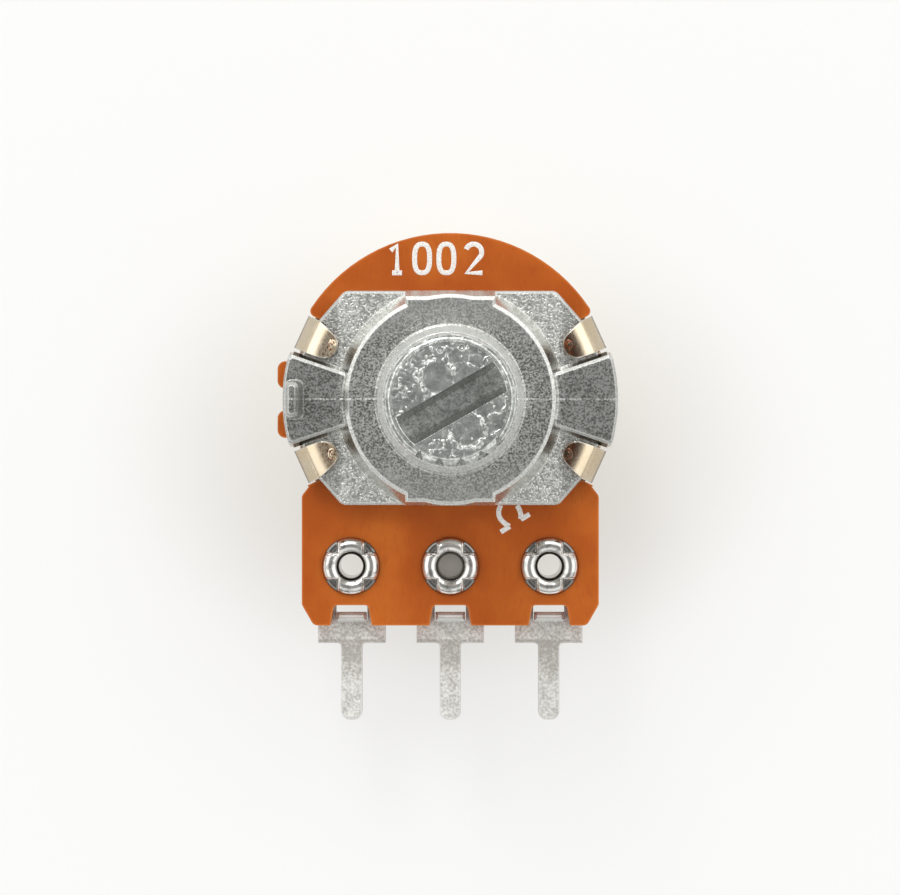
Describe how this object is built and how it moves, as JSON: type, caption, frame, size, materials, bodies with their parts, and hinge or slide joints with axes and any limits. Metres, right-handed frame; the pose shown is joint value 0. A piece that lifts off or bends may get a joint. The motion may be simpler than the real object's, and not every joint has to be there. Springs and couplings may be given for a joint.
{
  "type": "rotary potentiometer",
  "caption": "Single rotary potentiometer with a threaded bush, a knurled split shaft, a riveted track board with side terminals and a pressed cover.",
  "frame": {"origin": "on the shaft's axis, in the plane of the raised seat round the bush that meets the panel", "axes": "+Z along the shaft to its tip, -Y to the terminals, +X to the right seen from the shaft's tip with the terminals below"},
  "size_m": [0.0171, 0.0246, 0.024],
  "materials": {
    "cast_plate": "as cast, satin",
    "cast_shaft": "as cast, satin",
    "spring_steel": "satin",
    "rotor_moulding": "matte",
    "wiper_metal": "satin",
    "laminate": "satin laminate",
    "carbon_print": "matte",
    "silver_print": "satin",
    "tinned_terminal": "matte tin",
    "plated_eyelet": "bright",
    "plated_cover": "bright plated"
  },
  "bodies": {
    "housing": {"bush_plate": "cast_plate", "track_board": "laminate", "resistance_track": "carbon_print", "collector_print": "silver_print", "end_lead_left": "silver_print", "end_lead_right": "silver_print", "terminal_left": "tinned_terminal", "terminal_middle": "tinned_terminal", "terminal_right": "tinned_terminal", "eyelet_left": "plated_eyelet", "eyelet_middle": "plated_eyelet", "eyelet_right": "plated_eyelet", "cover": "plated_cover"},
    "spindle": {"shaft": "cast_shaft", "retaining_ring": "spring_steel", "rotor": "rotor_moulding", "wiper": "wiper_metal"}
  },
  "joints": [
    {"name": "shaft_turn", "type": "hinge", "parent": "housing", "child": "spindle", "pos_m": [0, 0, 0], "axis": [0, 0, 1], "range_deg": [0, 300]}
  ]
}
